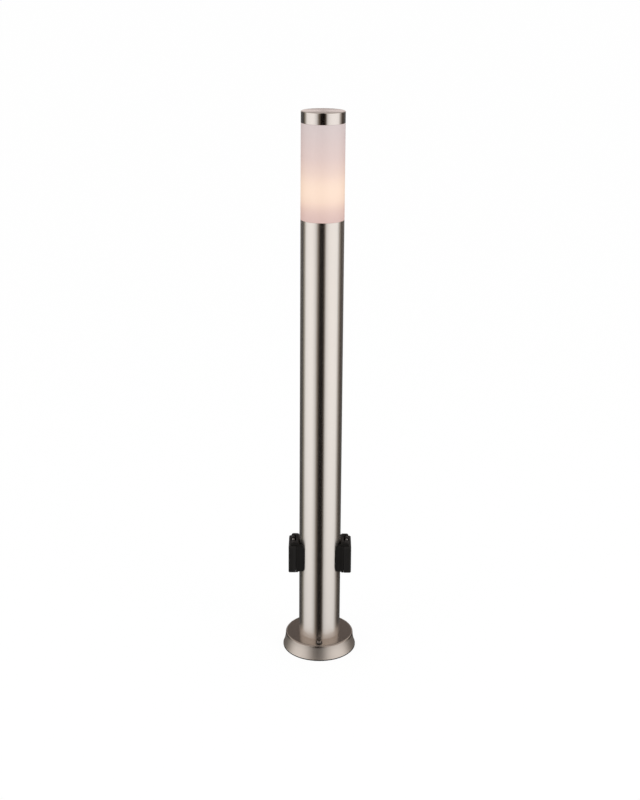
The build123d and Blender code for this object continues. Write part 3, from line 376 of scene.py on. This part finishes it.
def studio():
    """The room's light: even and pale on matt surfaces, and in polished steel a dark strip behind the
    camera, broad pale panels on both sides of it, and dark curtains behind the post."""
    world = bpy.data.worlds.new("studio")
    world.use_nodes = True
    bpy.context.scene.world = world
    nodes = Nodes(world.node_tree)
    place = nodes.add("ShaderNodeTexCoord")
    split = nodes.add("ShaderNodeSeparateXYZ")
    nodes.join(place.outputs["Generated"], split.inputs[0])
    x, y, z = split.outputs
    turn = nodes.maths("ARCTAN2", x, nodes.maths("MULTIPLY", y, -1.0))
    around = nodes.maths("MULTIPLY_ADD", turn, 0.5 / math.pi, 0.5)
    level = nodes.maths("ADD", z, 0.5)
    panels = nodes.ramp(around, PANELS)
    back = nodes.ramp(level, BACK_HEIGHTS)
    behind = nodes.ramp(around, BEHIND)
    overhead = nodes.maths("MULTIPLY", nodes.ramp(level, OVERHEAD), nodes.ramp(around, STRIP_CORE))
    front = nodes.add("ShaderNodeMix", data_type="RGBA")
    nodes.join(overhead, front.inputs[0])
    nodes.join(panels, front.inputs[6])
    nodes.join(nodes.ramp(level, TOP_LIGHT), front.inputs[7])
    mixed = nodes.add("ShaderNodeMix", data_type="RGBA")
    nodes.join(behind, mixed.inputs[0])
    nodes.join(front.outputs[2], mixed.inputs[6])
    nodes.join(back, mixed.inputs[7])
    fall = nodes.ramp(level, PANEL_HEIGHTS)
    shaded = nodes.add("ShaderNodeMix", data_type="RGBA", blend_type="MULTIPLY")
    shaded.inputs[0].default_value = 1.0
    nodes.join(mixed.outputs[2], shaded.inputs[6])
    nodes.join(fall, shaded.inputs[7])
    path = nodes.add("ShaderNodeLightPath")
    mirrored = nodes.add("ShaderNodeBackground")
    nodes.join(shaded.outputs[2], mirrored.inputs[0])
    even = nodes.add("ShaderNodeBackground", {"Color": shade(0.80)})
    seen = nodes.add("ShaderNodeBackground", {"Color": shade(1.0)})
    glossy = nodes.add("ShaderNodeMixShader")
    nodes.join(path.outputs["Is Glossy Ray"], glossy.inputs[0])
    nodes.join(even.outputs[0], glossy.inputs[1])
    nodes.join(mirrored.outputs[0], glossy.inputs[2])
    final = nodes.add("ShaderNodeMixShader")
    nodes.join(path.outputs["Is Camera Ray"], final.inputs[0])
    nodes.join(glossy.outputs[0], final.inputs[1])
    nodes.join(seen.outputs[0], final.inputs[2])
    output = nodes.add("ShaderNodeOutputWorld")
    nodes.join(final.outputs[0], output.inputs["Surface"])


# Brightness by the turn of the ray, 0.5 in front of the post and 0 or 1 behind it
PANELS = [
    (0.00, 0.08), (0.16, 0.05), (0.20, (0.21, 0.195, 0.16)), (0.25, 0.90), (0.33, 1.0), (0.37, 0.95),
    (0.405, 0.71), (0.439, (0.155, 0.13, 0.105)), (0.468, (0.004, 0.002, 0.001)),
    (0.520, (0.004, 0.002, 0.001)), (0.538, (0.07, 0.055, 0.04)), (0.564, 0.73), (0.60, 0.94),
    (0.66, 1.0), (0.735, 0.95), (0.785, (0.30, 0.275, 0.25)), (0.82, (0.06, 0.05, 0.042)),
]
# Share of the curtains behind the post, by the turn of the ray
BEHIND = [(0.10, 1.0), (0.15, 0.0), (0.85, 0.0), (0.90, 1.0)]
# Brightness of the curtains by the height of the ray, 0.5 level, 0 well below and 1 well above
BACK_HEIGHTS = [
    (0.0, 0.08), (0.50, 0.10), (0.54, (0.72, 0.64, 0.62)), (0.70, (0.72, 0.64, 0.62)),
    (0.80, (0.16, 0.14, 0.13)), (1.0, (0.17, 0.15, 0.14)),
]
# Share of the overhead light by the height of the ray, and its brightness
OVERHEAD = [(0.71, 0.0), (0.80, 1.0)]
TOP_LIGHT = [(0.82, (0.95, 0.91, 0.87)), (0.92, (0.58, 0.54, 0.51))]
# Share of the overhead light that is left above the dark strip
STRIP_CORE = [(0.43, 1.0), (0.455, 0.06), (0.525, 0.06), (0.55, 1.0)]
# Fading of all of it towards the ground
PANEL_HEIGHTS = [(0.0, 0.58), (0.03, 0.51), (0.09, 1.0), (1.0, 1.0)]


# Watts of the soft panels on the left and right
LAMP_POWERS = {-1: 5.5, 1: 8.0}


def lamps():
    """Two soft panels at the front corners that shape the matt pieces."""
    for side, power in LAMP_POWERS.items():
        data = bpy.data.lights.new("soft_panel", "AREA")
        data.shape = "RECTANGLE"
        data.size, data.size_y = 0.9, 1.8
        data.energy = power
        obj = bpy.data.objects.new("soft_panel", data)
        bpy.context.scene.collection.objects.link(obj)
        place = Vector((side * 1.7, -1.3, 1.2))
        aim = (Vector((0, 0, 0.5)) - place).to_track_quat("-Z", "Y")
        obj.matrix_world = Matrix.Translation(place) @ aim.to_matrix().to_4x4()
        obj.visible_glossy = False


def cut(mesh, cutters):
    """Takes the cutters' solids out of a closed mesh and gives back the mesh that is left."""
    cutting = bpy.data.objects.new("cutter", bpy.data.meshes.new("cutter"))
    cutters.to_mesh(cutting.data)
    cutters.free()
    blank = bpy.data.objects.new("blank", bpy.data.meshes.new("blank"))
    bmesh.ops.recalc_face_normals(mesh, faces=mesh.faces)
    mesh.to_mesh(blank.data)
    mesh.free()
    for obj in (cutting, blank):
        bpy.context.scene.collection.objects.link(obj)
    difference = blank.modifiers.new("difference", "BOOLEAN")
    difference.object = cutting
    difference.solver = "EXACT"
    shaped = blank.evaluated_get(bpy.context.evaluated_depsgraph_get()).to_mesh()
    left = bmesh.new()
    left.from_mesh(shaped)
    for obj in (cutting, blank):
        data = obj.data
        bpy.data.objects.remove(obj)
        bpy.data.meshes.remove(data)
    bmesh.ops.remove_doubles(left, verts=left.verts, dist=1e-6)
    return left


def add_bar(mesh, radius, start, end, segments=48):
    """A closed round bar between two points, for use as a cutter or a part of a piece."""
    start, end = Vector(start), Vector(end)
    along = end - start
    turn = along.to_track_quat("Z", "Y").to_matrix().to_4x4()
    place = Matrix.Translation((start + end) / 2) @ turn
    bmesh.ops.create_cone(mesh, cap_ends=True, segments=segments, radius1=radius, radius2=radius,
                          depth=along.length, matrix=place)


def post_tube_piece():
    """The steel tube with a softly broken top edge and the holes of the two sockets."""
    wall = 1.5 * MM
    edge = 0.25 * MM
    socket_hole = 23 * MM
    low, high = tube_low.z, tube_high.z
    outline = [(tube_radius, low)]
    outline += arc((tube_radius - edge, high - edge), edge, 0, 90, 3)
    outline += [(tube_radius - wall, high), (tube_radius - wall, low)]
    insert_low, insert_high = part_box("right_socket_insert")
    middle = (insert_low.z + insert_high.z) / 2
    cutters = bmesh.new()
    for side in (-1, 1):
        add_bar(cutters, socket_hole, (side * 20 * MM, 0, middle), (side * 50 * MM, 0, middle), 96)
    make_piece("steel_tube", cut(spun(outline), cutters), "post_tube", "post")


def flange_cover_piece():
    """The pressed cover: rolled bottom edge, hollow skirt, rounded lip, flat top and screw holes."""
    wall = 1.2 * MM
    low, high = cover_low.z, cover_high.z
    foot = 67.2 * MM
    lip = 62.8 * MM
    edge = 4.0 * MM
    sag = 0.9 * MM
    screw_hole, screw_place, reach = 2.7 * MM, 50 * MM, 3 * MM
    outer, inner = [], []
    for step in range(13):
        share = step / 12
        height = low + (high - edge - low) * share
        hollow = 4 * sag * share * (1 - share)
        radius = foot + (lip - foot) * share - hollow
        outer.append((radius, height))
        inner.append((radius - wall, min(height, high - edge)))
    outer[0] = (foot - 0.3 * MM, low)
    outer.insert(1, (foot, low + 0.3 * MM))
    outer += arc((lip - edge, high - edge), edge, 0, 90, 10)[1:]
    inner += arc((lip - edge, high - edge), edge - wall, 0, 90, 6)[1:]
    hub = tube_radius
    outline = outer + [(hub, high), (hub, high - wall)] + inner[::-1]
    cutters = bmesh.new()
    for side in (-1, 1):
        start = (0, side * screw_place, high - reach)
        end = (0, side * screw_place, high + reach)
        add_bar(cutters, screw_hole, start, end)
    make_piece("pressed_cover", cut(spun(outline), cutters), "flange_cover", "post")


def softened(name, node, body, width):
    """A copy of a node's mesh, its loose triangles merged into faces and its sharp edges softly broken."""
    mesh = bmesh.new()
    mesh.from_mesh(frame["nodes"][node].data)
    mesh.transform(frame["nodes"][node].matrix_world)
    bmesh.ops.remove_doubles(mesh, verts=mesh.verts, dist=2e-6)
    bmesh.ops.dissolve_limit(mesh, angle_limit=math.radians(1.0), verts=mesh.verts, edges=mesh.edges)
    sharp = [edge for edge in mesh.edges if edge.is_manifold and edge.calc_face_angle(0.0) > math.radians(50)]
    bmesh.ops.bevel(mesh, geom=sharp, offset=width, offset_type="OFFSET", segments=2, profile=0.5,
                    affect="EDGES", clamp_overlap=True, material=-1)
    make_piece(name, mesh, node, body)


def pin_plugs(side):
    """Small domed plugs that close both ends of the hinge pin's bore."""
    radius, flatness = 1.9 * MM, 0.06
    low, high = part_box(side + "_hinge_pin")
    mesh = bmesh.new()
    for end in (-1, 1):
        place = Matrix.Translation(((low.x + high.x) / 2, end * high.y, (low.z + high.z) / 2))
        squeeze = Matrix.Diagonal((1, flatness, 1, 1))
        bmesh.ops.create_uvsphere(mesh, u_segments=24, v_segments=12, radius=radius, matrix=place @ squeeze)
    loose_piece(side + "_pin_plugs", mesh, "socket_black", "post")


def spring_piece(side):
    """The torsion spring as a fine coil of round wire, with a leg to the hood and one to the lid."""
    low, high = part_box(side + "_lid_spring")
    pin_low, pin_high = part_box(side + "_hinge_pin")
    sign = 1 if low.x > 0 else -1
    axis = Vector(((pin_low.x + pin_high.x) / 2, 0, (pin_low.z + pin_high.z) / 2))
    coil_radius = 2.2 * MM
    wire = 0.3 * MM
    turns, pitch, each = 5, 1.25 * MM, 28
    length = turns * pitch
    mesh = bmesh.new()
    ring = Matrix.Translation(axis + Vector((0, -sign * length / 2, -coil_radius)))
    ring = ring @ Matrix.Rotation(math.radians(90), 4, "Y")
    made = bmesh.ops.create_circle(mesh, cap_ends=True, radius=wire, segments=10, matrix=ring)
    face = made["verts"][0].link_faces[0]
    step = Vector((0, sign * pitch / each, 0))
    bmesh.ops.spin(mesh, geom=[face] + face.edges[:] + face.verts[:], cent=axis, axis=(0, 1, 0),
                   dvec=step, angle=2 * math.pi * turns * -sign, steps=turns * each, use_merge=False)
    foot = axis.z - coil_radius
    near, far = (low.x, high.x) if sign > 0 else (high.x, low.x)
    add_bar(mesh, wire, (near, sign * length / 2, foot), (axis.x, sign * length / 2, foot), 10)
    add_bar(mesh, wire, (axis.x, -sign * length / 2, foot), (far, -sign * length / 2, foot), 10)
    bmesh.ops.remove_doubles(mesh, verts=mesh.verts, dist=1e-6)
    make_piece(side + "_coil_spring", mesh, side + "_lid_spring", "post")


def cap_piece():
    """The steel cap: a cup with a softly rounded rim."""
    wall = 1.2 * MM
    edge = 1.2 * MM
    low, high = cap_low.z, cap_high.z
    radius = cap_high.x
    outline = [(radius - 0.25 * MM, low), (radius, low + 0.25 * MM)]
    outline += arc((radius - edge, high - edge), edge, 0, 90, 6)
    outline += [(0.004, high), (0.0001, high), (0.0001, high - wall), (radius - wall, high - wall),
                (radius - wall, low)]
    make_piece("steel_cap", spun(outline), "top_cap", "head")


def diffuser_piece():
    """The opal diffuser with its spigot in the tube and its neck in the cap."""
    low, high = tube_top, cap_low.z
    radius = tube_radius
    edge = 0.5 * MM
    inner = radius - 2.5 * MM
    spigot = 33.7 * MM
    spigot_bore = 31.0 * MM
    neck = 36.3 * MM
    neck_bore = 33.6 * MM
    outline = [(spigot_bore, diffuser_low.z), (spigot, diffuser_low.z), (spigot, low)]
    outline += arc((radius - edge, low + edge), edge, -90, 0, 3)
    outline += arc((radius - edge, high - edge), edge, 0, 90, 3)
    outline += [(neck, high), (neck, diffuser_high.z), (neck_bore, diffuser_high.z),
                (neck_bore, high), (inner, high - 2.5 * MM), (inner, low + 2.5 * MM), (spigot_bore, low)]
    make_piece("opal_diffuser", spun(outline), "diffuser", "head")


paint_nodes()
camera()
floor()
studio()
lamps()
post_tube_piece()
flange_cover_piece()
for side in ("right", "left"):
    softened(side + "_moulded_frame", side + "_socket_frame", "post", 0.25 * MM)
    softened(side + "_moulded_lid", side + "_lid", side + "_lid", 0.3 * MM)
    softened(side + "_moulded_insert", side + "_socket_insert", "post", 0.15 * MM)
    pin_plugs(side)
    spring_piece(side)
cap_piece()
diffuser_piece()

scene = bpy.context.scene
scene.view_settings.view_transform = "Standard"
